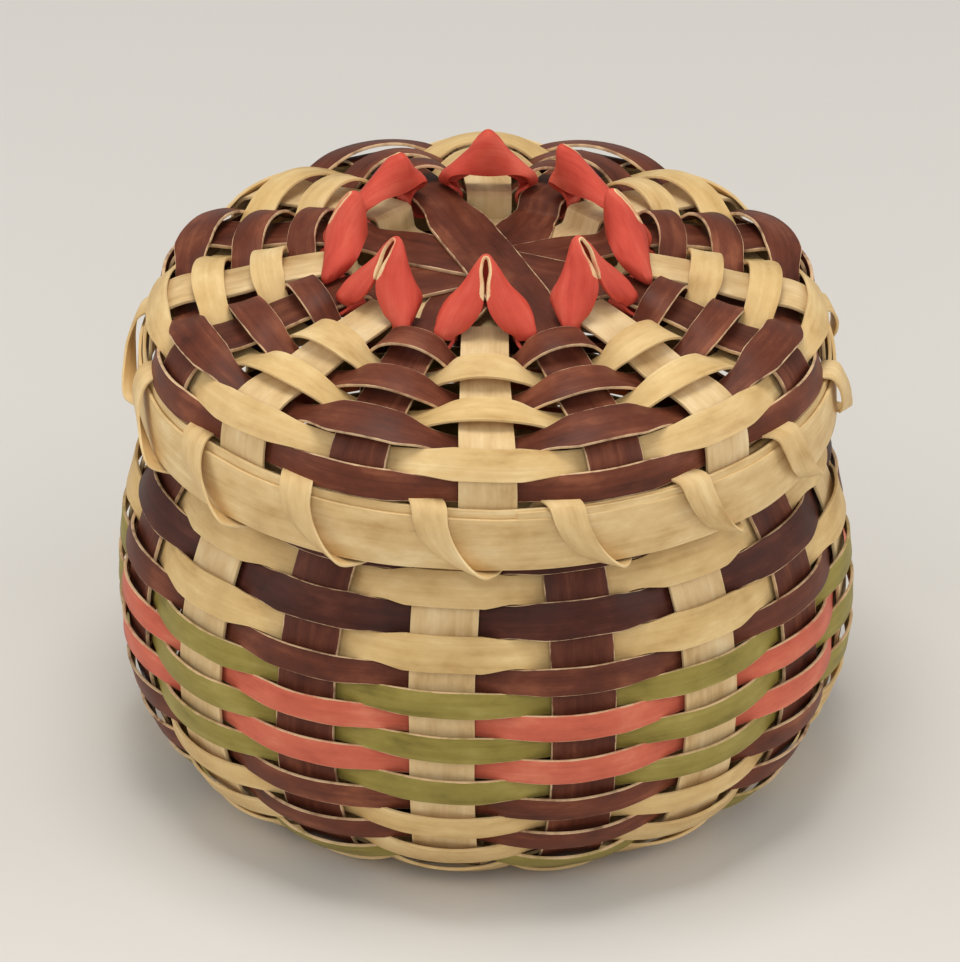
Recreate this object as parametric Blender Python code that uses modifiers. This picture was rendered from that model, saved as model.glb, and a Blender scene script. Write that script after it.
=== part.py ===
"""A small round ash-splint basket with a cap lid, woven over sixteen stakes.

Every splint, hoop and lashing is a piece of its own. The basket stands at the origin on its base, with +Z up
and a natural stake of the lid facing -Y. The lid lifts off along +Z.
"""

import math

import bmesh
import bpy
from mathutils import Vector

# Splints
STAKES = 16
BASE_ROWS = 5
STAKE_THICKNESS = 0.00045
STAKE_WIDTH = 0.0080
LID_STAKE_WIDTH = 0.0073
STAKE_WIDTH_AT_CROSSING = 0.0056
BROWN_WIDTH_IN_MIDDLE = 0.0076
BROWN_MIDDLE_REACH = 0.0100
WEAVER_THICKNESS = 0.00040
SLACK = 0.00070
TOUCH = 0.00030
LAYER_GAP = 0.00005

# Weaver widths, over a stake
NARROW_WEAVER = 0.00365
WIDE_WEAVER = 0.00500
BASE_WEAVER = 0.00490
LID_SIDE_WEAVER = 0.00400
LID_TOP_WEAVER = 0.00470

# Body profile, along the middle of the stakes
BASE_RADIUS = 0.0295
BODY_RADIUS = 0.0443
BULGE_HEIGHT = 0.0230
NECK_RADIUS = 0.0366
NECK_LENGTH = 0.0070
SHOULDER_FULLNESS = 0.68
SHOULDER_EASE = 0.18
BODY_RIM_HEIGHT = 0.0585
BODY_TURN = math.radians(-6.7)
FOOT_ROW_RISE = 0.0102

# Lid profile, along the middle of the stakes
LID_OVERLAP = 0.0099
LID_FIT = 0.0049
LID_SIDE_HEIGHT = 0.0159
LID_SHOULDER_REACH = 0.0080
LID_DOME_RADIUS = 0.1140
LID_SHOULDER_FULLNESS = 0.85
LID_SHOULDER_DIP_SHARE = 0.04
LID_SIDE_DIP_SHARE = 0.34

# Hoops, lashings and curls
LID_HOOP_HEIGHT = 0.0071
LID_HOOP_THICKNESS = 0.00080
BODY_HOOP_HEIGHT = 0.0056
BODY_HOOP_THICKNESS = 0.00065
LASHING_THICKNESS = 0.00035
LASHING_WIDTH = 0.0046
LASHING_FOLD_WIDTH = 0.0022
LASHING_SLANT = 0.45
CURL_STRIP_WIDTH = 0.0034
CURL_HEIGHT = 0.0102
CURL_HALF_WIDTH = 0.0056
CURL_LEAN = 0.0045
CURL_LEG_SHARE = 0.92
CURL_SLIT_SHARE = 0.46
CURL_BACK_SHARE = 0.42
CURL_BACK_POWER = 0.8
CURL_BELLY_SHARE = 0.34
CURL_BELLY_RISE_SHARE = 0.1
CURL_PEAK_DROP_SHARE = 0.12

# How finely the curved pieces are divided
BEND_STEPS = 24
DOME_STEPS = 8
WALL_STATIONS = 13
SHOULDER_STATIONS = 6
HOOP_SEGMENTS = 48
CURL_STATIONS = 4

HALF_TURN = math.pi / STAKES
WAVE = (STAKE_THICKNESS + WEAVER_THICKNESS) / 2 + SLACK
BASE_MIDDLE = WAVE + WEAVER_THICKNESS / 2 + LAYER_GAP
CROSSING_FLAT = (STAKE_WIDTH_AT_CROSSING / 2 + TOUCH) / math.tan(HALF_TURN)
CROSSING_JOIN = CROSSING_FLAT + 4 * WEAVER_THICKNESS
NECK_HEIGHT = BODY_RIM_HEIGHT - NECK_LENGTH
LID_RIM_BOTTOM = BODY_RIM_HEIGHT - LID_OVERLAP
LID_SIDE_RADIUS = NECK_RADIUS + LID_FIT
LID_SHOULDER_START = LID_SIDE_RADIUS - LID_SHOULDER_REACH
LID_SHOULDER_HEIGHT = LID_RIM_BOTTOM + LID_SIDE_HEIGHT
LID_SIDE_TOP = LID_RIM_BOTTOM + LID_HOOP_HEIGHT + LASHING_THICKNESS + 2 * TOUCH
LASHING_ROOM = LASHING_THICKNESS + 3 * TOUCH
CURL_RADIUS = CROSSING_JOIN + CURL_STRIP_WIDTH / 2 + LAYER_GAP
NATURAL, BROWN = 0, 1

COLOURS = {
    "natural": (0.74, 0.54, 0.29),
    "brown": (0.105, 0.038, 0.026),
    "green": (0.26, 0.235, 0.055),
    "coral": (0.58, 0.115, 0.062),
    "red": (0.60, 0.060, 0.040),
}


class Profile:
    """A curve of (radius, height) points from the axis outwards, measured by its length.

    The outer face of the basket is on the curve's right, and that of the lid on its left. The stakes along it are
    narrow where they cross and reach their full width on the wall.
    """

    def __init__(self, points, outer_side, full_width):
        self.points = [Vector(p) for p in points]
        self.outer_side = outer_side
        self.full_width = full_width
        self.lengths = [0.0]
        for a, b in zip(self.points, self.points[1:]):
            self.lengths.append(self.lengths[-1] + (b - a).length)

    def at(self, s):
        """The point and the outward direction at length s."""
        i = 1
        while i < len(self.points) - 1 and self.lengths[i] < s:
            i += 1
        a, b = self.points[i - 1], self.points[i]
        along = (b - a).normalized()
        return a + along * (s - self.lengths[i - 1]), Vector((along.y, -along.x)) * self.outer_side

    def stake_width(self, s):
        """The width of a stake at length s."""
        t = min(max((s - CROSSING_JOIN) / (BODY_RADIUS - CROSSING_JOIN), 0), 1)
        return STAKE_WIDTH_AT_CROSSING + (self.full_width - STAKE_WIDTH_AT_CROSSING) * t


def bend(p0, p1, p2, p3):
    """Points on a cubic curve, without its first one."""
    out = []
    for i in range(1, BEND_STEPS + 1):
        t = i / BEND_STEPS
        u = 1 - t
        weights = (u * u * u, 3 * u * u * t, 3 * u * t * t, t * t * t)
        out.append(sum((Vector(p) * w for p, w in zip((p0, p1, p2, p3), weights)), Vector((0, 0))))
    return out


def body_profile():
    """Flat base, round lower wall, full shoulder and upright neck."""
    points = [(0, BASE_MIDDLE), (BASE_RADIUS, BASE_MIDDLE)]
    for i in range(1, BEND_STEPS + 1):
        a = math.pi / 2 * i / BEND_STEPS
        points.append((BASE_RADIUS + (BODY_RADIUS - BASE_RADIUS) * math.sin(a),
                       BULGE_HEIGHT - (BULGE_HEIGHT - BASE_MIDDLE) * math.cos(a)))
    rise = NECK_HEIGHT - BULGE_HEIGHT
    points += bend((BODY_RADIUS, BULGE_HEIGHT), (BODY_RADIUS, BULGE_HEIGHT + SHOULDER_FULLNESS * rise),
                   (NECK_RADIUS, NECK_HEIGHT - SHOULDER_EASE * rise), (NECK_RADIUS, NECK_HEIGHT))
    points.append((NECK_RADIUS, BODY_RIM_HEIGHT))
    return Profile(points, 1, STAKE_WIDTH)


def lid_profile():
    """Low dome, tight shoulder and short side that flares a little to the rim."""
    def dome(r):
        return LID_SHOULDER_HEIGHT + (LID_SHOULDER_START ** 2 - r * r) / (2 * LID_DOME_RADIUS)

    points = [(0, dome(CROSSING_JOIN)), (CROSSING_JOIN, dome(CROSSING_JOIN))]
    for i in range(1, DOME_STEPS + 1):
        r = CROSSING_JOIN + (LID_SHOULDER_START - CROSSING_JOIN) * i / DOME_STEPS
        points.append((r, dome(r)))
    reach = LID_SIDE_RADIUS - LID_SHOULDER_START
    drop = LID_SHOULDER_HEIGHT - LID_SIDE_TOP
    points += bend((LID_SHOULDER_START, LID_SHOULDER_HEIGHT),
                   (LID_SHOULDER_START + LID_SHOULDER_FULLNESS * reach,
                    LID_SHOULDER_HEIGHT - LID_SHOULDER_DIP_SHARE * drop),
                   (LID_SIDE_RADIUS, LID_SHOULDER_HEIGHT - LID_SIDE_DIP_SHARE * drop),
                   (LID_SIDE_RADIUS, LID_SIDE_TOP))
    points.append((LID_SIDE_RADIUS, LID_RIM_BOTTOM))
    return Profile(points, -1, LID_STAKE_WIDTH)


def placed(angle, radius, lateral, height):
    """A point at a distance from the axis and to one side, facing the angle measured from -Y toward +X."""
    out = Vector((math.sin(angle), -math.cos(angle), 0))
    side = Vector((math.cos(angle), math.sin(angle), 0))
    return out * radius + side * lateral + Vector((0, 0, height))


def splint(name, colour, thickness, stations, closed=False):
    """A strip laid through rows of points, each row across its width, with Solidify for its thickness."""
    across = len(stations[0]) - 1
    rows = stations + stations[:1] if closed else stations
    bm = bmesh.new()
    bmesh.ops.create_grid(bm, x_segments=len(rows) - 1, y_segments=across, size=1.0)
    order = sorted(bm.verts, key=lambda v: (round(v.co.x, 5), round(v.co.y, 5)))
    for vertex, point in zip(order, (p for row in rows for p in row)):
        vertex.co = point
    if closed:
        bmesh.ops.remove_doubles(bm, verts=bm.verts, dist=1e-6)
    bmesh.ops.recalc_face_normals(bm, faces=bm.faces)
    mesh = bpy.data.meshes.new(name)
    bm.to_mesh(mesh)
    bm.free()
    mesh.shade_smooth()
    mesh.set_sharp_from_angle(angle=math.radians(40))
    mesh.materials.append(material(colour))
    obj = bpy.data.objects.new(name, mesh)
    parts.objects.link(obj)
    solidify = obj.modifiers.new("Thickness", "SOLIDIFY")
    solidify.thickness = thickness
    solidify.offset = 0
    solidify.use_even_offset = True
    return obj


def material(colour):
    """One material for each splint colour."""
    found = bpy.data.materials.get(colour)
    if found:
        return found
    made = bpy.data.materials.new(colour)
    made.use_nodes = True
    shader = made.node_tree.nodes["Principled BSDF"]
    shader.inputs["Base Color"].default_value = (*COLOURS[colour], 1)
    shader.inputs["Roughness"].default_value = 0.5
    shader.inputs["Metallic"].default_value = 0.0
    return made


def stake(name, colour, profile, angle, layer_height, lengths):
    """One splint that crosses the middle and runs up both sides as two stakes. A brown one is wider in the middle."""
    half = [(CROSSING_FLAT, layer_height, STAKE_WIDTH_AT_CROSSING)]
    if colour == "brown":
        half.insert(0, (BROWN_MIDDLE_REACH, layer_height, BROWN_WIDTH_IN_MIDDLE))
    for s in lengths:
        point = profile.at(s)[0]
        half.append((point.x, point.y, profile.stake_width(s)))
    stations = []
    for facing, side in ((math.pi, reversed(half)), (0, half)):
        for radius, height, width in side:
            flip = -1 if facing else 1
            stations.append([placed(angle, flip * radius, lateral, height) for lateral in (-width / 2, width / 2)])
    return splint(name, colour, STAKE_THICKNESS, stations)


def weaver(name, colour, profile, turn, s, over, width, pinched):
    """One row: flat over and under the stakes, pinched where it passes through between them."""
    radius = profile.at(s)[0].x
    edge = profile.stake_width(s) / 2 + TOUCH + WEAVER_THICKNESS / 2
    spread = math.hypot(1, edge / radius)
    stations = []
    for k in range(STAKES):
        lift = WAVE if k % 2 == over else -WAVE
        angle = turn + 2 * HALF_TURN * k
        for lateral in (-edge, edge):
            row = []
            for half in (-width / 2, width / 2):
                point, outward = profile.at(s + half)
                spot = point + outward * lift
                row.append(placed(angle, spot.x, lateral * spot.x / radius, spot.y))
            stations.append(row)
        row = []
        for half in (-pinched / 2, pinched / 2):
            spot = profile.at(s + half)[0]
            row.append(placed(angle + HALF_TURN, spot.x * spread, 0, spot.y))
        stations.append(row)
    return splint(name, colour, WEAVER_THICKNESS, stations, closed=True)


def rows_between(start, end, widths):
    """Places of the rows that fill the profile from start to end, and the width left for each between the stakes."""
    steps = [(a + b) / 2 for a, b in zip(widths, widths[1:])]
    packing = (end - start) / sum(steps)
    places = [start]
    for step in steps:
        places.append(places[-1] + packing * step)
    pinches = []
    for i, width in enumerate(widths):
        near = [abs(places[j] - places[i]) for j in (i - 1, i + 1) if 0 <= j < len(places)]
        pinches.append(min([width] + near) - TOUCH - WEAVER_THICKNESS / 2)
    return places, pinches


def hoop(name, radius, bottom, height, thickness):
    """A bent hoop, as a band of one radius at the middle of its thickness."""
    stations = []
    for i in range(HOOP_SEGMENTS):
        angle = 2 * math.pi * (i + 0.5) / HOOP_SEGMENTS
        stations.append([placed(angle, radius, 0, z) for z in (bottom, bottom + height)])
    return splint(name, "natural", thickness, stations, closed=True)


def rim(label, turn, stake_radius, width, bottom, height, thickness, ends_up):
    """Inner hoop, outer hoop and the lashing, which passes between the stakes on the side where they run on."""
    facet = math.cos(math.pi / HOOP_SEGMENTS)
    stake_outside = math.hypot(stake_radius + STAKE_THICKNESS / 2, width / 2)
    outer = (stake_outside + TOUCH + thickness / 2) / facet
    inner = stake_radius - STAKE_THICKNESS / 2 - TOUCH - thickness / 2
    hoop(label + "_outer_hoop", outer, bottom, height, thickness)
    hoop(label + "_inner_hoop", inner, bottom, height, thickness)

    away = TOUCH + LASHING_THICKNESS / 2
    outside = (outer + thickness / 2 + away) / math.cos(HALF_TURN * LASHING_SLANT)
    inside = (inner - thickness / 2) * facet - away
    low, high = bottom - away, bottom + height + away
    corner = away / 2
    across = (outside - inside) / (2 * (height + outside - inside))
    turned = corner / (outside - inside) * across
    loop = [
        (outside, high - corner, LASHING_WIDTH, 0.0),
        (outside, low + corner, LASHING_FOLD_WIDTH, LASHING_SLANT),
        (outside - corner, low, LASHING_FOLD_WIDTH, LASHING_SLANT + turned),
        (inside + corner, low, LASHING_FOLD_WIDTH, LASHING_SLANT + across),
        (inside, low + corner, LASHING_FOLD_WIDTH, LASHING_SLANT + across + turned),
        (inside, high - corner, LASHING_WIDTH, 1 - across),
        (inside + corner, high, LASHING_WIDTH, 1 - across + turned),
        (outside - corner, high, LASHING_WIDTH, 1 - turned),
    ]
    between_stakes = 0.5 - LASHING_SLANT - across / 2 if ends_up else 0.5 + across / 2
    stations = []
    for k in range(STAKES):
        for radius, level, strip, share in loop:
            angle = turn + 2 * HALF_TURN * (k + share + between_stakes)
            stations.append([placed(angle, radius, lateral, level) for lateral in (-strip / 2, strip / 2)])
    splint(label + "_rim_lashing", "natural", LASHING_THICKNESS, stations, closed=True)


def curl_half(profile, angle, hand):
    """Rows across one leg of a curl, from between the stakes to just short of its peak."""
    base = profile.at(CURL_RADIUS)[0].y
    rows = []
    for i in range(CURL_STATIONS):
        u = (i + 1) / CURL_STATIONS * CURL_LEG_SHARE
        slit = placed(angle, CURL_RADIUS + CURL_STRIP_WIDTH / 2 - CURL_LEAN * u * u,
                      hand * (CURL_HALF_WIDTH * CURL_SLIT_SHARE * (1 - u) + WEAVER_THICKNESS),
                      base + CURL_HEIGHT * u)
        back = placed(angle, CURL_RADIUS - CURL_STRIP_WIDTH / 2 - CURL_LEAN * u,
                      hand * CURL_HALF_WIDTH * (1 - u * u),
                      base + TOUCH + CURL_HEIGHT * CURL_BACK_SHARE * u ** CURL_BACK_POWER)
        belly = placed(angle, 0, hand * CURL_HALF_WIDTH * CURL_BELLY_SHARE * (1 - u) ** 0.5,
                       CURL_BELLY_RISE_SHARE * CURL_HEIGHT * u)
        rows.append([back, (slit + back) / 2 + belly, slit])
    return rows


def curl_weaver(profile):
    """One long splint that dips under each brown stake and stands up in a peaked curl over each natural one."""
    base = profile.at(CURL_RADIUS)[0].y
    edge = profile.stake_width(CURL_RADIUS) / 2 + TOUCH
    half = CURL_STRIP_WIDTH / 2
    stations = []

    def level(angle, lateral, height):
        return [placed(angle, CURL_RADIUS + part * half, lateral * (1 + part * half / CURL_RADIUS), height)
                for part in (-1, 0, 1)]

    for k in range(0, STAKES, 2):
        angle = 2 * HALF_TURN * k
        stations.append(level(angle - HALF_TURN, 0, base + WAVE / 2))
        stations += curl_half(profile, angle, -1)
        peak = base + CURL_HEIGHT
        lean = CURL_RADIUS - CURL_LEAN
        stations.append([placed(angle, lean - half, 0, base + TOUCH + CURL_HEIGHT * CURL_BACK_SHARE),
                         placed(angle, lean, 0, peak - CURL_HEIGHT * CURL_PEAK_DROP_SHARE),
                         placed(angle, lean + half / 2, 0, peak)])
        stations += reversed(curl_half(profile, angle, 1))
        stations.append(level(angle + HALF_TURN, 0, base + WAVE / 2))
        for lateral in (-edge, edge):
            stations.append(level(angle + 2 * HALF_TURN, lateral, base - WAVE))
    return splint("lid_curl_weaver", "red", WEAVER_THICKNESS, stations, closed=True)


def crossing_height(k, lowest):
    """Each splint has its own layer where they cross: natural ones below, and the first brown one on top."""
    layer = STAKES // 2 - 1 - k // 2 if k % 2 == BROWN else k // 2
    return lowest + STAKE_THICKNESS / 2 + layer * (STAKE_THICKNESS + LAYER_GAP)


def stations_between(start, end, count):
    """Lengths spread evenly from start to end, both included."""
    return [start + (end - start) * i / count for i in range(count + 1)]


for old in list(bpy.data.objects):
    bpy.data.objects.remove(old)
parts = bpy.data.collections.new("lidded_splint_basket")
bpy.context.scene.collection.children.link(parts)

# Basket: stakes that cross under the base and run up the wall
body = body_profile()
neck = body.lengths[-2]
for k in range(STAKES // 2):
    kind = "brown" if k % 2 else "natural"
    lengths = [CROSSING_JOIN] + stations_between(BASE_RADIUS, neck, WALL_STATIONS) + [body.lengths[-1]]
    stake(f"basket_{kind}_stake_{k // 2 + 1}", kind, body, BODY_TURN + 2 * HALF_TURN * k,
          crossing_height(k, 0), lengths)

# Basket: rows of the wall from the foot to the neck, then rows of the base from the foot inwards
WALL_ROWS = [
    ("foot_green", "green", BROWN, NARROW_WEAVER),
    ("lower_natural_1", "natural", NATURAL, NARROW_WEAVER),
    ("lower_brown_1", "brown", BROWN, NARROW_WEAVER),
    ("lower_natural_2", "natural", NATURAL, NARROW_WEAVER),
    ("lower_brown_2", "brown", BROWN, NARROW_WEAVER),
    ("band_green_1", "green", NATURAL, NARROW_WEAVER),
    ("band_coral_1", "coral", BROWN, NARROW_WEAVER),
    ("band_green_2", "green", NATURAL, NARROW_WEAVER),
    ("band_coral_2", "coral", BROWN, NARROW_WEAVER),
    ("band_green_3", "green", NATURAL, NARROW_WEAVER),
    ("upper_brown_1", "brown", BROWN, NARROW_WEAVER),
    ("upper_natural_1", "natural", NATURAL, WIDE_WEAVER),
    ("upper_brown_2", "brown", BROWN, WIDE_WEAVER),
    ("upper_natural_2", "natural", NATURAL, WIDE_WEAVER),
    ("neck_brown", "brown", BROWN, NARROW_WEAVER),
    ("neck_natural", "natural", NATURAL, NARROW_WEAVER),
]
foot_row = BASE_RADIUS + FOOT_ROW_RISE
neck_row = body.lengths[-1] - BODY_HOOP_HEIGHT - LASHING_ROOM - NARROW_WEAVER / 2
places, pinches = rows_between(foot_row, neck_row, [row[3] for row in WALL_ROWS])
for (label, colour, over, width), s, pinched in zip(WALL_ROWS, places, pinches):
    weaver(f"basket_weaver_{label}", colour, body, BODY_TURN, s, over, width, pinched)
base_widths = [NARROW_WEAVER] + [BASE_WEAVER] * BASE_ROWS
places, pinches = rows_between(foot_row, CROSSING_JOIN + BASE_WEAVER / 2 + 2 * TOUCH, base_widths)
for i in range(1, BASE_ROWS + 1):
    weaver(f"basket_weaver_base_{i}", "natural", body, BODY_TURN, places[i], (i + 1) % 2, BASE_WEAVER, pinches[i])

# Basket: rim inside the lid
rim("basket", BODY_TURN, NECK_RADIUS, STAKE_WIDTH, BODY_RIM_HEIGHT - BODY_HOOP_HEIGHT, BODY_HOOP_HEIGHT,
    BODY_HOOP_THICKNESS, ends_up=True)
basket_parts = set(parts.objects)

# Lid: stakes that cross at the top and run down the side
lid = lid_profile()
lid_top = lid.at(0)[0].y
shoulder, side = lid.lengths[-2 - BEND_STEPS], lid.lengths[-2]
lid_crossing = lid_top + STAKE_THICKNESS / 2 - (STAKES // 2) * (STAKE_THICKNESS + LAYER_GAP)
for k in range(STAKES // 2):
    kind = "brown" if k % 2 else "natural"
    lengths = [CROSSING_JOIN, (CROSSING_JOIN + shoulder) / 2]
    lengths += stations_between(shoulder, side, SHOULDER_STATIONS) + [lid.lengths[-1]]
    stake(f"lid_{kind}_stake_{k // 2 + 1}", kind, lid, 2 * HALF_TURN * k, crossing_height(k, lid_crossing), lengths)

# Lid: rows from the rim up the side and in over the top, then the row of curls
LID_ROWS = [
    ("side_brown", "brown", BROWN, LID_SIDE_WEAVER),
    ("side_natural", "natural", NATURAL, LID_SIDE_WEAVER),
    ("shoulder_brown", "brown", BROWN, LID_TOP_WEAVER),
    ("top_natural_2", "natural", NATURAL, LID_TOP_WEAVER),
    ("top_brown_2", "brown", BROWN, LID_TOP_WEAVER),
    ("top_natural_1", "natural", NATURAL, LID_TOP_WEAVER),
    ("top_brown_1", "brown", BROWN, LID_SIDE_WEAVER),
]
side_row = lid.lengths[-1] - LID_HOOP_HEIGHT - LASHING_ROOM - LID_SIDE_WEAVER / 2
inner_row = CURL_RADIUS + CURL_STRIP_WIDTH / 2 + 2 * TOUCH + LID_SIDE_WEAVER / 2
places, pinches = rows_between(side_row, inner_row, [row[3] for row in LID_ROWS])
for (label, colour, over, width), s, pinched in zip(LID_ROWS, places, pinches):
    weaver(f"lid_weaver_{label}", colour, lid, 0, s, over, width, pinched)
rim("lid", 0, LID_SIDE_RADIUS, LID_STAKE_WIDTH, LID_RIM_BOTTOM, LID_HOOP_HEIGHT, LID_HOOP_THICKNESS,
    ends_up=False)
curl_weaver(lid)

# The lid's pieces hang from an empty on the line along which it lifts
axis = bpy.data.objects.new("lid_lift_axis", None)
axis.location = (0, 0, LID_RIM_BOTTOM)
parts.objects.link(axis)
for obj in set(parts.objects) - basket_parts - {axis}:
    obj.parent = axis
    obj.matrix_parent_inverse.translation = -axis.location
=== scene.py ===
# %% [markdown]
# # A lidded basket of ash splints
# The real basket is woven from flat splints, thin ribbons of ash wood split off along the growth
# rings and partly dyed. Sixteen stakes stand round the wall, weavers pass over and under them, and
# the rims are bent hoops held by a lashing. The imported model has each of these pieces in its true
# place. This lesson dresses them: every splint is laid again as a thin, smoothly bent ribbon where
# its node lies, and gets grain, dye and pale cut edges.

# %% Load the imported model
import math

import bpy
import numpy as np
from mathutils import Matrix, Vector, noise


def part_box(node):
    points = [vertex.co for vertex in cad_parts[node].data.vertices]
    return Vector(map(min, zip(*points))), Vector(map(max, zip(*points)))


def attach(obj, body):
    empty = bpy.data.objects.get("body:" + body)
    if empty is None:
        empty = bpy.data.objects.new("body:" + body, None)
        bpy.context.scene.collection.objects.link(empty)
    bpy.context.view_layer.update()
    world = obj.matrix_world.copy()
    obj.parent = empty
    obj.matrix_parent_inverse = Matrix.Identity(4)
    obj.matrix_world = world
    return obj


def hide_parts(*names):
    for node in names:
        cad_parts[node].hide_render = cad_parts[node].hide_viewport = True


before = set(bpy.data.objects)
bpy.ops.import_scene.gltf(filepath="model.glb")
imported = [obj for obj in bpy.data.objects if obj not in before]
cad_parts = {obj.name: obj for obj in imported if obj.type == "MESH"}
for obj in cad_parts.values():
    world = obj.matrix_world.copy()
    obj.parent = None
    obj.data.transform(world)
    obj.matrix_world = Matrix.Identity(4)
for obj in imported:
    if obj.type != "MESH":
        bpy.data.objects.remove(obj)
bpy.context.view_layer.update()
MM = 0.001
STAKES = 16
STEP = 2 * math.pi / STAKES

# %% [markdown]
# ## Camera
# The photograph was taken from in front and above, with little perspective, so the camera stands
# two metres away behind a long lens. It comes first because everything after it is judged through
# it.

# %% Camera
DISTANCE = 2.06836
ELEVATION = math.radians(29.51)
ROLL = math.radians(0.39)
TARGET = Vector((-0.00073, 0.0, 0.03698))
LENS = 627.41
SIGHT = 20
back = Vector((0, -math.cos(ELEVATION), math.sin(ELEVATION)))
right = Vector((1, 0, 0))
up = back.cross(right)
rolled_right = right * math.cos(ROLL) + up * math.sin(ROLL)
rolled_up = up * math.cos(ROLL) - right * math.sin(ROLL)
bpy.ops.object.select_all(action="DESELECT")
bpy.ops.object.camera_add(location=TARGET + back * DISTANCE)
camera = bpy.context.object
camera.name = "photo_camera"
camera.rotation_euler = Matrix((rolled_right, rolled_up, back)).transposed().to_euler()
camera.data.sensor_fit = "HORIZONTAL"
camera.data.lens = LENS
camera.data.clip_end = SIGHT
bpy.context.scene.camera = camera
print("camera at", [round(c, 3) for c in camera.location])

# %% [markdown]
# ## Light and floor
# The light is soft and comes mostly from above, so the lid's rim puts the wall below it in shade. A
# broad lamp overhead, weaker ones from the front and both sides and an even sky give that, at a
# level where colours render as written.

# %% Light and floor
MIDDLE = Vector((0, 0, 0.04))
SKY_STRENGTH = 0.38


def lamp(name, place, size, watts, colour):
    """A square lamp that faces the middle of the basket."""
    bpy.ops.object.light_add(type="AREA", location=place)
    made = bpy.context.object
    made.name = name
    made.data.size = size
    made.data.energy = watts
    made.data.color = colour
    made.rotation_euler = (Vector(place) - MIDDLE).to_track_quat("Z", "Y").to_euler()


lamp("overhead_lamp", (-0.02, -0.02, 0.60), 0.24, 1.65, (1.0, 0.96, 0.89))
lamp("front_lamp", (0.0, -0.72, 0.52), 0.60, 1.8, (1.0, 0.97, 0.93))
lamp("right_lamp", (0.80, -0.15, 0.35), 0.50, 2.1, (1.0, 0.96, 0.90))
lamp("left_lamp", (-0.80, -0.15, 0.35), 0.50, 1.9, (1.0, 0.96, 0.90))
world = bpy.data.worlds.new("even_sky")
world.use_nodes = True
world.node_tree.nodes["Background"].inputs["Color"].default_value = (1.0, 0.985, 0.96, 1)
world.node_tree.nodes["Background"].inputs["Strength"].default_value = SKY_STRENGTH
bpy.context.scene.world = world
bpy.context.scene.view_settings.view_transform = "Standard"

bpy.ops.mesh.primitive_plane_add(size=6, location=(0, 0, 0))
floor = bpy.context.object
floor.name = "floor"
paper = bpy.data.materials.new("pale_paper")
paper.use_nodes = True
paper.node_tree.nodes["Principled BSDF"].inputs["Base Color"].default_value = (0.70, 0.69, 0.67, 1)
paper.node_tree.nodes["Principled BSDF"].inputs["Roughness"].default_value = 0.8
floor.data.materials.append(paper)
print("stage ready")

# %% [markdown]
# ## Shader arithmetic
# A finish is easier to read as sums than as a web of nodes. The class below wraps a socket, and
# each operator on it adds one Math node. Everything else comes from one method that makes a node of
# any kind.

# %% A finish and its wires
class Wire:
    """A value inside a finish. Arithmetic on it adds Math nodes."""

    def __init__(self, finish, socket):
        self.finish = finish
        self.socket = socket

    def maths(self, operation, *values):
        """The result of a Math node on the values."""
        return self.finish.node("ShaderNodeMath", {"operation": operation}, dict(enumerate(values)))

    def __add__(self, other):
        return self.maths("ADD", self, other)

    def __radd__(self, other):
        return self.maths("ADD", other, self)

    def __sub__(self, other):
        return self.maths("SUBTRACT", self, other)

    def __rsub__(self, other):
        return self.maths("SUBTRACT", other, self)

    def __mul__(self, other):
        return self.maths("MULTIPLY", self, other)

    def __rmul__(self, other):
        return self.maths("MULTIPLY", other, self)

    def between(self, low, high):
        """0 below low, 1 above high, smooth in between."""
        settings = {"interpolation_type": "SMOOTHSTEP"}
        values = {"Value": self, "From Min": low, "From Max": high}
        return self.finish.node("ShaderNodeMapRange", settings, values)


class Finish:
    """A material under way. One method adds any node to it."""

    def __init__(self, name):
        self.material = bpy.data.materials.new(name)
        self.material.use_nodes = True
        self.tree = self.material.node_tree
        self.shader = self.tree.nodes["Principled BSDF"]

    def node(self, kind, settings=None, values=None, output=0):
        """The output of a new node with these settings and values."""
        made = self.tree.nodes.new(kind)
        for key, value in (settings or {}).items():
            setattr(made, key, value)
        for key, value in (values or {}).items():
            self.feed(made.inputs[key], value)
        return Wire(self, made.outputs[output])

    def feed(self, socket, value):
        """A wire or a constant put into a socket."""
        if isinstance(value, Wire):
            self.tree.links.new(value.socket, socket)
        else:
            socket.default_value = value

    def blend(self, factor, first, second, way="MIX"):
        """The first colour where factor is 0. Where it is 1, the second, or the product of both."""
        settings = {"data_type": "RGBA", "blend_type": way}
        return self.node("ShaderNodeMix", settings, {"Factor": factor, 6: first, 7: second}, output=2)


def shade(red, green, blue):
    """A colour as it reads in a picture, 0 to 255, turned into light."""
    values = [c / 255 for c in (red, green, blue)]
    return tuple(c / 12.92 if c <= 0.04045 else ((c + 0.055) / 1.055) ** 2.4 for c in values) + (1,)


print("natural ash:", [round(c, 3) for c in shade(222, 194, 147)])

# %% [markdown]
# ## Ash, natural and dyed
# A splint's grain runs along it: fine fibres, darker pore lines, and slow changes of colour. Each
# ribbon carries a UV map in millimetres, along and across, so that the grain follows every bend,
# and a "rim" value that is 1 on its cut edges. Dye hardly reaches into the cut edge, so dyed
# splints have pale edges there, worn a little unevenly.

# %% Ash finish
SPECULAR = 0.22
BUMP_STRENGTH = 0.28
BUMP_DEPTH = 0.00010
WORN_EDGE = 0.04


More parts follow.
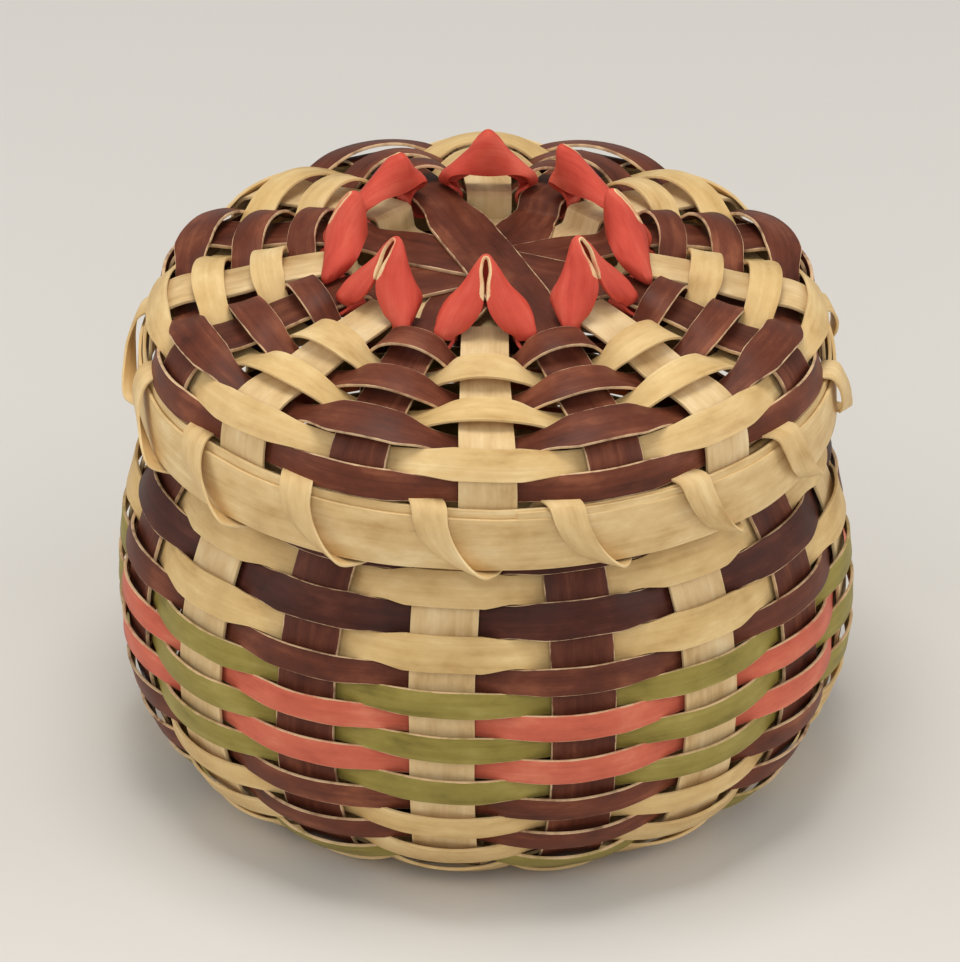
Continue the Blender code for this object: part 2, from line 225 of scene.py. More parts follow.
def ash(name, dark, middle, light, deep, edge, edge_strength, edge_start, pores, roughness):
    """An ash finish. A splint's own depth of colour, partly painted shade for the upper brown rows, turns its
    colour toward its product with deep.
    """
    finish = Finish(name)
    place = finish.node("ShaderNodeUVMap", {"uv_map": "ribbon"})
    split = {"Vector": place}
    along = finish.node("ShaderNodeSeparateXYZ", None, split, output=0)
    across = finish.node("ShaderNodeSeparateXYZ", None, split, output=1)
    rim = finish.node("ShaderNodeAttribute", {"attribute_name": "rim"}, None, output=2)

    def streaks(length, width, detail, shift):
        """Noise stretched along the ribbon: the size of its spots in millimetres, and its place."""
        values = {0: along * (1 / length), 1: across * (1 / width), 2: shift}
        spot = finish.node("ShaderNodeCombineXYZ", None, values)
        values = {"Vector": spot, "Scale": 1.0, "Detail": detail, "Roughness": 0.6}
        return finish.node("ShaderNodeTexNoise", None, values)

    fibres = streaks(7.0, 0.13, 3.0, 0.0)
    growth = streaks(40.0, 0.9, 2.0, 11.0)
    patches = streaks(9.0, 4.5, 4.0, 23.0)
    tone = fibres * 0.10 + growth * 0.20 + patches * 0.70
    colour = finish.blend(tone.between(0.30, 0.52), dark, middle)
    colour = finish.blend(tone.between(0.48, 0.70), colour, light)
    # The splint's depth of colour; for the upper brown rows under the lid's rim it is partly painted shade.
    dye_and_shade = finish.node("ShaderNodeAttribute", {"attribute_name": "dye_and_shade"}, None, output=2)
    colour = finish.blend(dye_and_shade, colour, deep, "MULTIPLY")
    lines = streaks(26.0, 0.24, 1.0, 37.0).between(0.60, 0.72)
    colour = finish.blend(lines * pores, colour, dark)
    wear = streaks(3.0, 1.2, 3.0, 51.0)
    worn = (rim + (wear - 0.5) * 0.12).between(edge_start, edge_start + WORN_EDGE)
    bare = worn * (wear.between(0.30, 0.62) * 0.6 + 0.4) * edge_strength
    colour = finish.blend(bare, colour, edge)
    finish.feed(finish.shader.inputs["Base Color"], colour)
    finish.feed(finish.shader.inputs["Roughness"], roughness + (patches - 0.5) * 0.3)
    finish.shader.inputs["Specular IOR Level"].default_value = SPECULAR
    height = fibres * 0.6 + lines * (-0.4) + growth * 0.4
    values = {"Strength": BUMP_STRENGTH, "Distance": BUMP_DEPTH, "Height": height}
    bump = finish.node("ShaderNodeBump", None, values)
    finish.feed(finish.shader.inputs["Normal"], bump)
    return finish.material


PALE_EDGE = shade(226, 194, 154)
FINISHES = {
    "natural": ash("natural_ash", shade(192, 158, 108), shade(222, 194, 147), shade(242, 221, 180),
                   (0.90, 0.82, 0.60, 1), shade(236, 210, 160), 0.4, 0.96, 0.15, 0.55),
    # The brown's deep colour is what the upper rows under the lid's rim turn toward: partly deeper dyeing,
    # partly painted shade.
    "brown": ash("brown_ash", shade(72, 34, 22), shade(108, 55, 37), shade(150, 88, 61),
                 (0.34, 0.29, 0.38, 1), PALE_EDGE, 0.95, 0.955, 0.25, 0.52),
    "green": ash("green_ash", shade(116, 103, 42), shade(148, 134, 65), shade(172, 158, 90),
                 (0.80, 0.78, 0.60, 1), PALE_EDGE, 0.9, 0.955, 0.18, 0.52),
    "coral": ash("coral_ash", shade(178, 84, 64), shade(204, 103, 80), shade(222, 132, 104),
                 (0.92, 0.72, 0.66, 1), PALE_EDGE, 0.95, 0.955, 0.18, 0.52),
    "red": ash("red_ash", shade(184, 62, 50), shade(212, 86, 68), shade(226, 114, 92),
               (0.85, 0.65, 0.65, 1), shade(234, 204, 156), 0.95, 0.86, 0.15, 0.52),
}
print("finishes:", ", ".join(FINISHES))

# %% [markdown]
# ## From a node to a ribbon
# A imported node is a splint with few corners: pairs of rows across it, one on each face. Merged and
# sorted along the splint they give the line that it follows. A smooth curve through them, leaving
# each row in the direction in which the splint passes through it, gives the soft arch that springy
# wood makes over a stake.

# %% Read a node's rows
# A height in the middle of the basket. What lies farther from it lies farther out.
HEART = 0.035
# The heights from which the lid's stakes and the base's are seen in order.
BELOW_LID = 0.0
ABOVE_BASE = 0.060


def corners_of(name):
    """A node's corners, each one once."""
    seen = {tuple(round(c, 7) for c in v.co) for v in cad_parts[name].data.vertices}
    return [Vector(c) for c in seen]


def middles(four, previous):
    """The two middles of a row's thickness, in the same order as the row before."""
    a, b, c, d = four
    pairs = min((((a, b), (c, d)), ((a, c), (b, d)), ((a, d), (b, c))),
                key=lambda two: sum((p - q).length for p, q in two))
    first, second = [(p + q) / 2 for p, q in pairs]
    if previous is None:
        steep = [math.atan2(p.xy.length, p.z - HEART) for p in (first, second)]
        swap = steep[0] > steep[1]
    else:
        swap = (first - previous[1]).length + (second - previous[0]).length < (
            (first - previous[0]).length + (second - previous[1]).length)
    return (second, first) if swap else (first, second)


def dealt(ordered):
    """Rows of two points from corners that lie in order along a splint."""
    rows, previous = [], None
    for i in range(0, len(ordered), 4):
        previous = middles(ordered[i:i + 4], previous)
        rows.append(previous)
    return rows


def ring_rows(name):
    """The rows of a splint that runs round the basket, from its widest gap on, each upper point first."""
    ordered = sorted(corners_of(name), key=lambda p: math.atan2(p.x, -p.y))
    turns = [math.atan2(p.x, -p.y) for p in ordered]
    gaps = [(turns[i] - turns[i - 1]) % (2 * math.pi) for i in range(len(turns))]
    start = gaps.index(max(gaps))
    return dealt(ordered[start:] + ordered[:start])


def stake_rows(name):
    """The rows of a splint that crosses the middle, from one rim to the other.

    They are in order as seen from far below the lid or high above the base, also at the crossing's steps.
    """
    corners = corners_of(name)
    far = max(corners, key=lambda p: p.xy.length).xy
    spread = sum((c.xy * (1 if c.xy.dot(far) > 0 else -1) for c in corners), Vector((0, 0))).normalized()
    sign, centre = (1, BELOW_LID) if sum(c.z for c in corners) / len(corners) > HEART else (-1, ABOVE_BASE)
    return dealt(sorted(corners, key=lambda p: math.atan2(p.xy.dot(spread), sign * (p.z - centre))))


print("rows:", len(ring_rows("lid_outer_hoop")), len(stake_rows("lid_natural_stake_1")))

# %% Smooth a line of points
def smooth(points, closed, steps, straight=()):
    """Points on the springy curve through the given ones.

    It runs straight through the points whose numbers are in straight. The points beside those are passed in
    the direction of their outer chords.
    """
    count = len(points)
    spans = count if closed else count - 1
    chords = [points[(i + 1) % count] - points[i] for i in range(spans)]
    leaving = []
    for i in range(count):
        before = chords[i - 1] if closed or i > 0 else chords[0]
        after = chords[i % spans] if closed or i < spans else chords[-1]
        way = before.normalized() * after.length + after.normalized() * before.length
        leaving.append(way.normalized())
    for i in straight:
        leaving[i] = chords[straight[len(straight) // 2]].normalized()
    if straight:
        leaving[straight[0] - 1] = chords[straight[0] - 2].normalized()
        leaving[straight[-1] + 1] = chords[straight[-1] + 1].normalized()
    out = []
    for i in range(spans):
        a, b, reach = points[i], points[(i + 1) % count], chords[i].length
        for j in range(steps):
            t = j / steps
            s = 1 - t
            out.append(a * (s * s * (1 + 2 * t)) + b * (t * t * (3 - 2 * t))
                       + leaving[i] * (reach * s * s * t) - leaving[(i + 1) % count] * (reach * t * t * s))
    if not closed:
        out.append(points[-1].copy())
    return out


print("smoothed:", len(smooth([Vector((x, 0, 0)) for x in range(4)], False, 5)))

# %% [markdown]
# Nothing made by hand is quite even. One gentle warp of space moves every piece, so that neighbours
# shift together and still clear each other. It fades out at the ground, on which the basket has to
# stand level.

# %% Hand-made unevenness
WARP = 0.00050
WARP_TURNS = 38.0
WARP_PLACE = Vector((3.1, 7.7, 1.3))
STILL_BELOW = 0.002
FADE = 0.020
# Without a seed the warp would differ from run to run.
WARP_SEED = 1
noise.seed_set(WARP_SEED)


def uneven(p):
    """A point shifted by the warp."""
    push = noise.noise_vector(p * WARP_TURNS + WARP_PLACE) * WARP
    return p + push * min(max((p.z - STILL_BELOW) / FADE, 0), 1)


print("shift at the rim:", [round(c / MM, 2) for c in uneven(Vector((0.04, 0, 0.05)))])

# %% [markdown]
# ## Laying a ribbon
# A flat grid is the start of each ribbon. Its columns are laid on the smoothed rows, which no set
# of hand moves in edit mode would place well, and Solidify and Bevel then give it the thickness and
# the slightly broken edges of a real splint.

# %% Lay a ribbon
OFF_THE_FLOOR = 0.00002
SAME_POINT = 1e-6
SHARP = math.radians(50)
SOFT = math.radians(35)


def lay(name, rails, closed, thickness, body, slot, offset, dye_and_shade=0.5, bevel=0.00007, bare=None):
    """A ribbon on three or more rails of points, thick on both sides of them.

    Its grain starts offset millimetres into the pattern. Both its edges are pale, or only the last rail's
    where bare, a list of values along the ribbon, is near 1.
    """
    lanes, length = len(rails), len(rails[0])
    columns = length if closed else length - 1
    bpy.ops.object.select_all(action="DESELECT")
    bpy.ops.mesh.primitive_grid_add(x_subdivisions=columns, y_subdivisions=lanes - 1, size=2)
    piece = bpy.context.object
    piece.name = piece.data.name = name
    mesh = piece.data
    flat = np.empty(len(mesh.vertices) * 3, np.float32)
    mesh.vertices.foreach_get("co", flat)
    flat = flat.reshape(-1, 3)
    column = np.rint((flat[:, 0] + 1) / 2 * columns).astype(int)
    lane = np.rint((flat[:, 1] + 1) / 2 * (lanes - 1)).astype(int)
    rails = np.array([[tuple(uneven(p)) for p in rail] for rail in rails], np.float32)
    rails[:, :, 2] = np.maximum(rails[:, :, 2], thickness / 2 + OFF_THE_FLOOR)
    if closed:
        rails = np.concatenate([rails, rails[:, :1]], axis=1)
    mesh.vertices.foreach_set("co", rails[lane, column].ravel())

    middle = rails.mean(axis=0)
    run = np.concatenate([[0], np.cumsum(np.linalg.norm(np.diff(middle, axis=0), axis=1))]) / MM
    width = np.linalg.norm(np.diff(rails, axis=0), axis=2).sum(axis=0) / MM
    share = lane / (lanes - 1) * 2 - 1
    corner = np.empty(len(mesh.loops), np.int32)
    mesh.loops.foreach_get("vertex_index", corner)
    ribbon = np.stack([run[column] + offset, share * width[column] / 2], axis=1)
    mesh.uv_layers[0].name = "ribbon"
    mesh.uv_layers[0].data.foreach_set("uv", ribbon[corner].astype(np.float32).ravel())
    rim = mesh.attributes.new("rim", "FLOAT", "POINT")
    pale = share * np.take(bare, column, mode="wrap") if bare else np.abs(share)
    rim.data.foreach_set("value", pale.astype(np.float32))
    # Depth of colour, partly painted shade for the upper brown rows under the lid's rim.
    tint = mesh.attributes.new("dye_and_shade", "FLOAT", "POINT")
    tint.data.foreach_set("value", np.full(len(share), dye_and_shade, np.float32))
    mesh.update()

    bpy.ops.object.mode_set(mode="EDIT")
    bpy.ops.mesh.select_all(action="SELECT")
    if closed:
        bpy.ops.mesh.remove_doubles(threshold=SAME_POINT)
    bpy.ops.mesh.normals_make_consistent(inside=False)
    bpy.ops.object.mode_set(mode="OBJECT")
    wall = piece.modifiers.new("Thickness", "SOLIDIFY")
    wall.thickness = thickness
    wall.offset = 0
    wall.use_even_offset = not bare
    broken = piece.modifiers.new("Edges", "BEVEL")
    broken.width = bevel
    broken.segments = 2
    broken.limit_method = "ANGLE"
    broken.angle_limit = SHARP
    for modifier in ("Thickness", "Edges"):
        bpy.ops.object.modifier_apply(modifier=modifier)
    bpy.ops.object.shade_smooth_by_angle(angle=SOFT)
    mesh.materials.append(FINISHES[slot.split("_")[0]])
    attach(piece, body)
    return piece


print("ready to lay")

# %% [markdown]
# ## Weavers
# Each row round the wall, the base and the lid is one closed ribbon. It arches over one stake and
# under the next. Its width swells a little over each stake, where it lies free, and its edges wander
# by up to a tenth of a millimetre.

# %% Edges, colours and starts
DRIFT_TURNS = 160
SEED_SHIFT = 7.3
RAIL_SHIFT = 31.7
GOLDEN = 0.618
DYE_SPREAD = 0.25
NATURAL_STAKE_DYE = 0.10
NATURAL_WEAVER_DYE = 0.60
ROWS_PER_STAKE = 3


def colour_of(name):
    """The dye that a splint's name tells."""
    for colour in ("brown", "green", "coral"):
        if colour in name:
            return colour
    return "natural"


def waver(rails, seed, amount):
    """Two rails that wander along the ribbon's width as hand-cut edges do, in another way for each seed."""
    out = []
    for n, rail in enumerate(rails):
        others = rails[1 - n]
        shift = seed * SEED_SHIFT + n * RAIL_SHIFT
        moved = []
        for i, p in enumerate(rail):
            drift = noise.noise(Vector((p.x * DRIFT_TURNS, p.y * DRIFT_TURNS, shift + p.z * DRIFT_TURNS)))
            moved.append(p + (p - others[i]).normalized() * drift * amount)
        out.append(moved)
    return out


def with_middle(rails, cup):
    """A third rail between two, pushed out by cup so that the ribbon isn't dead flat."""
    first, second = rails
    centre = []
    for i, (a, b) in enumerate(zip(first, second)):
        ahead = first[(i + 1) % len(first)] - first[i - 1]
        out = ahead.cross(b - a)
        centre.append((a + b) / 2 + out.normalized() * cup)
    return [first, centre, second]


# How deep the colour of these brown weavers is, from 0 for the plain dyed colour to 1. For the upper rows and
# the neck, which lie under the lid's rim, the deeper values are partly deeper dyeing and partly painted shade
# from the rim.
# The others' follows from their numbers.
DYE_AND_PAINTED_SHADE = {
    "basket_weaver_neck_brown": 0.80,
    "basket_weaver_upper_brown_2": 0.85,
    "basket_weaver_upper_brown_1": 0.30,
    "basket_weaver_lower_brown_2": 0.10,
    "basket_weaver_lower_brown_1": 0.15,
    "lid_weaver_side_brown": 0.10,
}


def dye_and_shade_of(name, number):
    """How deep a splint's colour is; for the upper brown rows under the lid's rim it is partly painted shade.
    Natural stakes are paler than natural weavers.
    """
    if name in DYE_AND_PAINTED_SHADE:
        return DYE_AND_PAINTED_SHADE[name]
    spread = (number * GOLDEN) % 1 * DYE_SPREAD
    if colour_of(name) == "natural":
        return spread + (NATURAL_STAKE_DYE if "stake" in name else NATURAL_WEAVER_DYE)
    return spread


def hidden_start(rows):
    """The same ring, started behind a stake at the back, where the seam in its grain isn't seen."""
    def hiding(j):
        """Greater farther back, and less by a metre where the weaver lies outside the stake."""
        here = (rows[j - 1][0] + rows[j - 1][1] + rows[j][0] + rows[j][1]) / 4
        beside = (rows[j - 4][0] + rows[j - 4][1]) / 2
        depth = (here - Vector((0, 0, HEART))).length - (beside - Vector((0, 0, HEART))).length
        return here.y - (1 if depth > 0 else 0)

    start = max(range(0, len(rows), ROWS_PER_STAKE), key=hiding)
    return rows[start:] + rows[:start]


def tightened(rows, share):
    """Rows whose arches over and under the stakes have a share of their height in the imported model."""
    out = [list(row) for row in rows]
    for side in (0, 1):
        touching = [i for i in range(len(rows)) if i % ROWS_PER_STAKE != 1]
        radius = sum(rows[i][side].xy.length for i in touching) / len(touching)
        level = sum(rows[i][side].z for i in touching) / len(touching)
        for i in touching:
            point = rows[i][side]
            drawn = radius + (point.xy.length - radius) * share
            out[i][side] = Vector((*(point.xy.normalized() * drawn), level + (point.z - level) * share))
    return out


def eased(rows, even):
    """Rows with even as a share of their width over the stakes.

    Between two stakes a weaver squeezes past its neighbours with its lower edge outwards.
    """
    out = []
    for i, (upper, lower) in enumerate(rows):
        middle, half = (upper + lower) / 2, (lower - upper) / 2
        if i % ROWS_PER_STAKE == 1:
            free = max((rows[j][1] - rows[j][0]).length for j in (i - 1, (i + 1) % len(rows)))
            ahead = rows[(i + 1) % len(rows)][0] - rows[i - 1][0]
            away = ahead.cross(half).normalized()
            away *= 1 if away.dot(middle - Vector((0, 0, HEART))) > 0 else -1
            wider = min(half.length + CROWDING / 2, free * even / 2)
            half = half.normalized() * wider + away * SHINGLE
        else:
            half = half * even
        out.append((middle - half, middle + half))
    return out


def narrowed(rails, most):
    """Two rails, nowhere more than most apart."""
    out = [[], []]
    for a, b in zip(*rails):
        middle, half = (a + b) / 2, (b - a) / 2
        half = half * min(1, most / 2 / half.length)
        out[0].append(middle - half)
        out[1].append(middle + half)
    return out


print("deepest dye:", max(DYE_AND_PAINTED_SHADE.values()))

# %% Weavers
# The arches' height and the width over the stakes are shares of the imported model's. Between two stakes, an
# edge turns outwards by SHINGLE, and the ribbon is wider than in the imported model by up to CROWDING.
TIGHTNESS = 0.68
TIGHTNESS_ON_TOP = 1.20
EVEN = 0.93
EVEN_ON_TOP = 0.88
SHINGLE = 0.00020
CROWDING = 0.00058
WEAVER_STEPS = 8
WEAVER_DRIFT = 0.00014
WEAVER_CUP = 0.00005
WEAVER_GRAIN = 311.0
THIN = 0.0004
weaver_names = sorted(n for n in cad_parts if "_weaver_" in n)
for number, name in enumerate(weaver_names):
    if name == "lid_curl_weaver":
        continue
    body = name.split("_")[0]
    on_top = "_top_" in name or "_shoulder_" in name
    rows = tightened(hidden_start(ring_rows(name)), TIGHTNESS_ON_TOP if on_top else TIGHTNESS)
    rows = eased(rows, EVEN_ON_TOP if "_top_" in name else EVEN)
    rails = [smooth([row[side] for row in rows], True, WEAVER_STEPS) for side in (0, 1)]
    rails = narrowed(rails, max((a - b).length for a, b in rows))
    rails = with_middle(waver(rails, number, WEAVER_DRIFT), WEAVER_CUP)
    piece = lay(name + "_ribbon", rails, True, THIN, body, colour_of(name) + "_ash", number * WEAVER_GRAIN,
                dye_and_shade_of(name, number))
    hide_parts(name)
print("weavers, with the curled one that comes last:", len(weaver_names))

# %% [markdown]
# ## Stakes
# A stake is a wider ribbon that crosses the middle of the base or the lid and runs up, or down,
# both sides. Only where the stakes cross are they straight.

# %% Stakes
# How many spans the way over the middle is cut into, and how far from the middle the stakes stay straight.
CROSSING_ROWS = 6
CROSSING_EDGE = 0.0165
STAKE_STEPS = 5
STAKE_DRIFT = 0.00012
STAKE_CUP = 0.00003
STAKE_THICKNESS = 0.00045
STAKE_SEED = 60
STAKE_GRAIN = 353.0
FIRST_STAKE_GRAIN = 9000
BROWN_STAKE_DYE = {"basket": 0.45, "lid": 0.32}


def with_crossing(rows):
    """Extra rows over the middle, and the numbers of all rows on the straight stretch there."""
    half = len(rows) // 2
    (a, b), (c, d) = rows[half - 1], rows[half]
    extra = [(a.lerp(c, i / CROSSING_ROWS), b.lerp(d, i / CROSSING_ROWS)) for i in range(1, CROSSING_ROWS)]
    rows = rows[:half] + extra + rows[half:]
    return rows, tuple(i for i, (a, b) in enumerate(rows) if (a + b).xy.length / 2 < CROSSING_EDGE)


stake_names = sorted(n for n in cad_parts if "_stake_" in n)
for number, name in enumerate(stake_names):
    body = name.split("_")[0]
    colour = colour_of(name)
    rows, straight = with_crossing(stake_rows(name))
    rails = [smooth([row[side] for row in rows], False, STAKE_STEPS, straight) for side in (0, 1)]
    rails = with_middle(waver(rails, STAKE_SEED + number, STAKE_DRIFT), STAKE_CUP)
    dye_and_shade = BROWN_STAKE_DYE[body] if colour == "brown" else dye_and_shade_of(name, number)
    piece = lay(name + "_ribbon", rails, False, STAKE_THICKNESS, body, colour + "_ash",
                FIRST_STAKE_GRAIN + number * STAKE_GRAIN, dye_and_shade)
    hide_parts(name)
print("stakes:", len(stake_names))

# %% [markdown]
# ## Hoops
# The hoops are thicker strips bent into rings. The lid's outer hoop is the widest pale band of the
# basket.

# %% Plain hoops
HOOP_THICKNESS = {"lid_inner_hoop": 0.0008, "basket_outer_hoop": 0.00065, "basket_inner_hoop": 0.00065}
HOOP_STEPS = 5
HOOP_DRIFT = 0.00022
HOOP_CUP = 0.00002
HOOP_BEVEL = 0.00012
HOOP_SEED = 90
HOOP_GRAIN = 401.0
FIRST_HOOP_GRAIN = 20000
for number, (name, thickness) in enumerate(HOOP_THICKNESS.items()):
    rails = [smooth([row[side] for row in ring_rows(name)], True, HOOP_STEPS) for side in (0, 1)]
    rails = with_middle(waver(rails, HOOP_SEED + number, HOOP_DRIFT), HOOP_CUP)
    piece = lay(name + "_ribbon", rails, True, thickness, name.split("_")[0], "natural_ash",
                FIRST_HOOP_GRAIN + number * HOOP_GRAIN, bevel=HOOP_BEVEL)
    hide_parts(name)
print("hoops:", len(HOOP_THICKNESS))

# %% [markdown]
# The lid's outer hoop goes round twice. The turn in front is the broad band, and the one behind it
# stands a little higher and shows above it, with its lapped end in view. Both turns are laid as
# open bands and joined in one piece.

# %% The lid's doubled hoop
COLUMN_DEGREES = 1.5
TURN_SEED = 97
TURN_DRIFT = 0.00018
TURN_THICKNESS = 0.00042
TURN_BEVEL = 0.0001
LAP_RISE = 0.0011
# The angles between which each turn runs, in degrees from the front, and the shares of it between which its
# radius changes.
FRONT_ENDS = (196, -176)
FRONT_CHANGE = (0.90, 0.96)
BEHIND_ENDS = (38, -355.2)
BEHIND_CHANGE = (0.80, 0.95)
# At its two ends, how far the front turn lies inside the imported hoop's outer face, and the turn behind it
# outside the inner face.
FRONT_INSETS = (0.0002, 0.00064)
BEHIND_OUTSETS = (0.00005, 0.00045)
BEHIND_DROP = 0.0002


def ring_size(name):
    """Smallest and greatest radius, lowest and highest level of a ring."""
    corners = corners_of(name)
    radii = [c.xy.length for c in corners]
    heights = [c.z for c in corners]
    return min(radii), max(radii), min(heights), max(heights)


def around(turn, radius, level):
    """The point at an angle from the front, a radius and a level."""
    return Vector((math.sin(turn) * radius, -math.cos(turn) * radius, level))


def band(ends, radii, bottoms, height, change):
    """The rails of an open band between two angles.

    Its radius and its bottom go from their first value to their second between the two shares in change.
    """
    first, last = ends
    count = int(abs(last - first) / COLUMN_DEGREES)
    lower, upper = [], []
    for i in range(count + 1):
        t = i / count
        turn = math.radians(first + (last - first) * t)
        ease = min(max((t - change[0]) / (change[1] - change[0]), 0), 1)
        radius = radii[0] + (radii[1] - radii[0]) * ease
        bottom = bottoms[0] + (bottoms[1] - bottoms[0]) * ease
        lower.append(around(turn, radius, bottom))
        upper.append(around(turn, radius, bottom + height))
    return with_middle(waver([upper, lower], TURN_SEED, TURN_DRIFT), HOOP_CUP)


inner_face, outer_face, hoop_bottom, hoop_top = ring_size("lid_outer_hoop")
hoop_height = hoop_top - hoop_bottom
raised = hoop_bottom + LAP_RISE
# The second end of the front turn is tucked under its first, and that of the turn behind comes forward.
front_radii = [outer_face - inset for inset in FRONT_INSETS]
behind_radii = [inner_face + outset for outset in BEHIND_OUTSETS]
front = band(FRONT_ENDS, front_radii, (hoop_bottom, hoop_bottom), hoop_height, FRONT_CHANGE)
behind = band(BEHIND_ENDS, behind_radii, (raised, raised - BEHIND_DROP), hoop_height, BEHIND_CHANGE)
turns = []
for label, rails, grain_start in (("front", front, 21500.0), ("behind", behind, 22100.0)):
    turns.append(lay("lid_hoop_" + label, rails, False, TURN_THICKNESS, "lid", "natural_ash", grain_start,
                     bevel=TURN_BEVEL))
bpy.ops.object.select_all(action="DESELECT")
for turn in turns:
    turn.select_set(True)
bpy.context.view_layer.objects.active = turns[0]
bpy.ops.object.join()
turns[0].name = "lid_outer_hoop_double"
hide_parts("lid_outer_hoop")
print("lid hoop:", round(inner_face / MM, 2), round(outer_face / MM, 2))

# %% [markdown]
# ## Lashings
# One long splint winds round both hoops of a rim, once between each pair of stakes. It lies flat
# and wide over the top, slants down across the outer hoop, and turns on its edge where it is pulled
# in under it.

# %% Lashings
LASHING_THICKNESS = 0.00035
LASHING_GAP = 0.0003
LASHING_STEPS = 4
LASHING_CUP = 0.00004
LASHING_GRAIN = 900.0
FIRST_LASHING_GRAIN = 30000
PROUD = {"lid": 0.0007, "basket": 0.0001}
RAISED = {"lid": LAP_RISE, "basket": 0}


def lashing(label, turn, first):
    """The rows of a rim's lashing, from the sizes of its hoops.

    The stakes of its body are turned by turn. The first wrap starts at first, in steps from the front stake.
    """
    _, outside, low, high = ring_size(label + "_outer_hoop")
    inside, _, _, _ = ring_size(label + "_inner_hoop")
    gap = LASHING_THICKNESS / 2 + LASHING_GAP
    outside, inside, low, high = outside + gap, inside - gap, low - gap, high + gap
    height = high - low
    proud = PROUD[label]
    top = high + RAISED[label]
    wrap = [
        # share of a step, radius, level, half width, turn on its edge in degrees
        (0.00, outside - 0.0003, top - 0.0001, 0.0022, 0),
        (0.02, outside + proud * 0.8, high - 0.0006, 0.0021, 0),
        (0.06, outside + proud * 1.3, high - 0.30 * height, 0.0020, 5),
        (0.13, outside + proud * 1.2, high - 0.55 * height, 0.0018, 14),
        (0.24, outside + proud * 0.9, high - 0.80 * height, 0.0015, 30),
        (0.36, outside + 0.0003, low + 0.0003, 0.0011, 50),
        (0.43, outside - 0.0008, low - 0.0001, 0.0010, 25),
        (0.52, inside + 0.0004, low - 0.0001, 0.0010, 0),
        (0.58, inside - 0.0001, low + 0.0008, 0.0012, 0),
        (0.72, inside - 0.0001, (low + high) / 2, 0.0017, 0),
        (0.88, inside - 0.0001, high - 0.0007, 0.0021, 0),
        (0.95, (outside + inside) / 2 - 0.0002, top + 0.0001, 0.0022, 0),
    ]
    rows = []
    for k in range(STAKES):
        for share, radius, level, half, tilt in wrap:
            a = turn + STEP * (k + share + first)
            side = Vector((math.cos(a), math.sin(a), 0))
            out = Vector((math.sin(a), -math.cos(a), 0))
            reach = side * math.cos(math.radians(tilt)) + out * math.sin(math.radians(tilt))
            spot = around(a, radius, level)
            rows.append((spot - reach * half, spot + reach * half))
    return rows


BODY_TURN = math.radians(-6.7)
for number, (label, turn, first) in enumerate((("lid", 0.0, 0.58), ("basket", BODY_TURN, -0.08))):
    rows = lashing(label, turn, first)
    rails = [smooth([row[side] for row in rows], True, LASHING_STEPS) for side in (0, 1)]
    name = label + "_rim_lashing"
    rails = with_middle(rails, LASHING_CUP)
    piece = lay(name + "_ribbon", rails, True, LASHING_THICKNESS, label, "natural_ash",
                FIRST_LASHING_GRAIN + number * LASHING_GRAIN)
    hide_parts(name)
print("lashings: 2")

# %% [markdown]
# ## Curls
# Round the middle of the lid one red splint dips under each brown stake and stands up over each
# natural one in a pointed curl: a hood with its closed side to the middle and its slit outwards.
# One leg is described, and mirrored and turned copies of its rows make the whole ring. Each tip
# leans a little its own way.

# %% Where the curls stand
# The curls stand on CURL_BASE. Under the brown stakes the splint lies lower by CURL_DIP, and in the gaps
# beside them it is narrower.
low_curl, high_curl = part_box("lid_curl_weaver")
CURL_STRIP = 0.0034
CURL_LIFT = 0.0002
CURL_DIP = 0.001125
CURL_RADIUS = max(c.xy.length for c in corners_of("lid_curl_weaver")) - CURL_STRIP / 2
CURL_BASE = low_curl.z + CURL_LIFT + CURL_DIP
CURL_HEIGHT = high_curl.z - CURL_BASE
GAP_WIDTH = 0.0026
GAP_INWARDS = 0.0002
FLAT_REACH = 0.0034
print("curls:", round(CURL_RADIUS / MM, 2), round(CURL_BASE / MM, 2), round(CURL_HEIGHT / MM, 2))

# %% The shape of a curl
def curl_point(turn, radius, lateral, level):
    """The point at an angle, a radius and a level, moved lateral to the side."""
    out = Vector((math.sin(turn), -math.cos(turn), 0))
    side = Vector((math.cos(turn), math.sin(turn), 0))
    return out * radius + side * lateral + Vector((0, 0, level))


# One leg from its foot up: its hem at the back, its crown and its slit edge, each to the side, outwards and
# upwards, in millimetres. The crown is the control point of a curve, which doesn't reach it.
LEG = [
    ((4.9, -1.2, 0.9), (7.6, 1.6, 0.6), (3.9, 0.6, 0.3)),
    ((5.0, -2.3, 2.0), (7.6, 1.2, 2.0), (2.2, 0.6, 1.6)),
    ((4.7, -3.3, 3.2), (6.1, -0.8, 4.2), (0.3, 0.3, 4.6)),
    ((3.2, -3.9, 4.0), (3.5, -2.0, 7.4), (0.16, -0.6, 6.8)),
    ((1.5, -4.2, 4.1), (1.7, -3.4, 10.0), (0.42, -1.9, 9.0)),
]
PEAK = ((0, -4.4, 4.15), (0, -4.4, 10.9), (0, -2.7, 9.9))
PEAK_HEIGHT = 10.9
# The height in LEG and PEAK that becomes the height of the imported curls.
FULL_HEIGHT = 10.5
# For each tip, from the front round: how far it leans to its side and outwards, in millimetres, and its share
# of the full height.
MOODS = [(0.0, 0.0, 0.98), (-0.9, 0.2, 1.0), (0.3, -1.0, 0.98), (2.2, -1.8, 1.0),
         (0.2, 0.0, 0.96), (-0.6, -0.3, 0.84), (0.0, 0.2, 0.97), (0.6, 0.0, 0.99)]
LANES = 8
print("rows in a leg:", len(LEG), "curls:", len(MOODS))

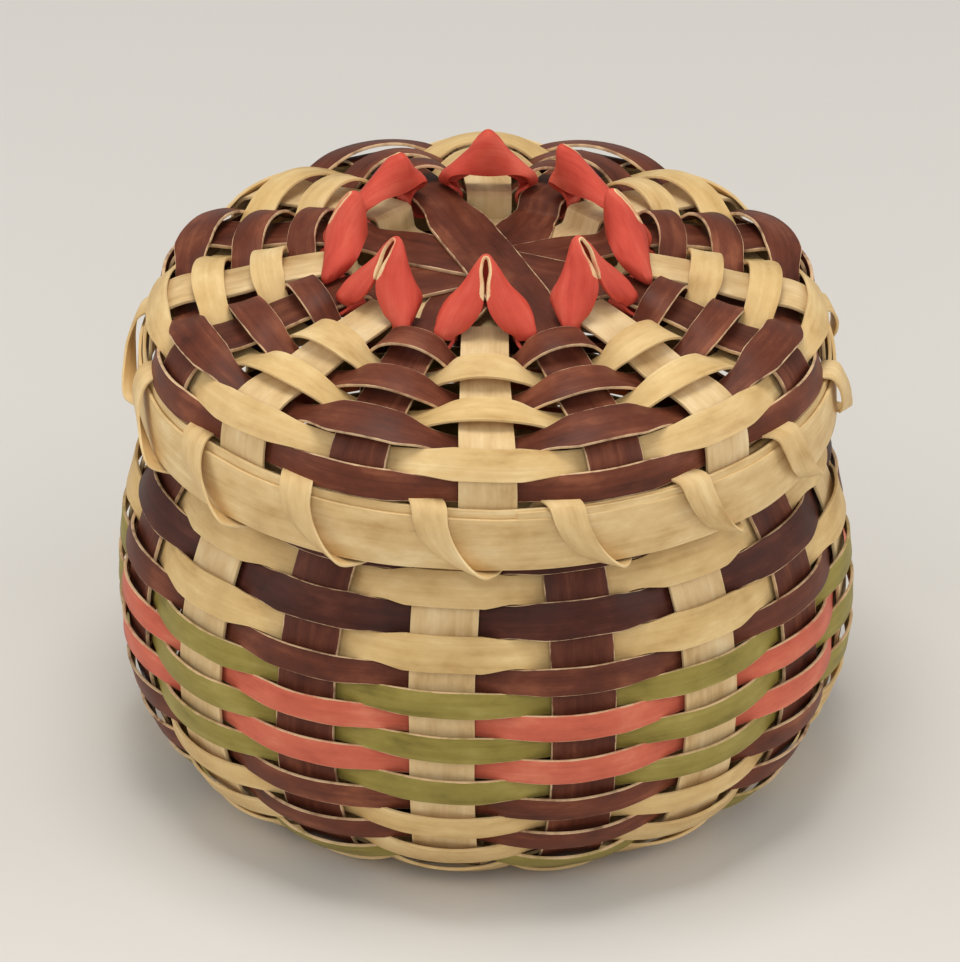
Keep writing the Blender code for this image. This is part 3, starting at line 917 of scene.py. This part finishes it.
# %% Curl rows
def curl_rows():
    """Rows across the red splint all the way round: up one leg, down the other, flat under a stake."""
    rows = []
    shares = [lane / LANES for lane in range(LANES + 1)]

    def flat(turn, lateral, level, width=CURL_STRIP, inwards=0.0):
        """A row that lies flat."""
        return [curl_point(turn, CURL_RADIUS + (s - 0.5) * width - inwards, lateral, level) for s in shares]

    def bowed(turn, three, hand, mood):
        """A row bowed from hem over crown to slit edge, on the side that hand gives."""
        points = []
        for side, out, height in three:
            lean = (height / PEAK_HEIGHT) ** 1.5
            rise = CURL_HEIGHT / FULL_HEIGHT * (1 + (mood[2] - 1) * lean)
            points.append(curl_point(turn, CURL_RADIUS + (out + mood[1] * lean) * MM,
                                     (hand * side + mood[0] * lean) * MM, CURL_BASE + height * rise))
        hem, crown, slit = points
        return [hem * (1 - s) ** 2 + crown * (2 * s * (1 - s)) + slit * s * s for s in shares]

    for number, mood in enumerate(MOODS):
        turn = STEP * 2 * number
        rows.append(flat(turn - STEP / 2, 0, CURL_BASE, GAP_WIDTH, GAP_INWARDS))
        rows += [bowed(turn, three, -1, mood) for three in LEG]
        rows.append(bowed(turn, PEAK, 1, mood))
        rows += [bowed(turn, three, 1, mood) for three in reversed(LEG)]
        rows.append(flat(turn + STEP / 2, 0, CURL_BASE, GAP_WIDTH, GAP_INWARDS))
        rows += [flat(turn + STEP, lateral, CURL_BASE - CURL_DIP) for lateral in (-FLAT_REACH, FLAT_REACH)]
    return rows


print("lanes across the splint:", LANES)

# %% The ring of curls
CURL_STEPS = 5
CURL_GRAIN = 41000.0
PALE_ABOVE = 0.006
LEAST_PALE = 0.8
rows = curl_rows()
rails = [smooth([row[lane] for row in rows], True, CURL_STEPS) for lane in range(LANES + 1)]
bare = [min(max((p.z - CURL_BASE) / PALE_ABOVE, LEAST_PALE), 1.0) for p in rails[-1]]
piece = lay("lid_curls", rails, True, THIN, "lid", "red_ash", CURL_GRAIN, bare=bare)
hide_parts("lid_curl_weaver")
print("curl rows:", len(rows))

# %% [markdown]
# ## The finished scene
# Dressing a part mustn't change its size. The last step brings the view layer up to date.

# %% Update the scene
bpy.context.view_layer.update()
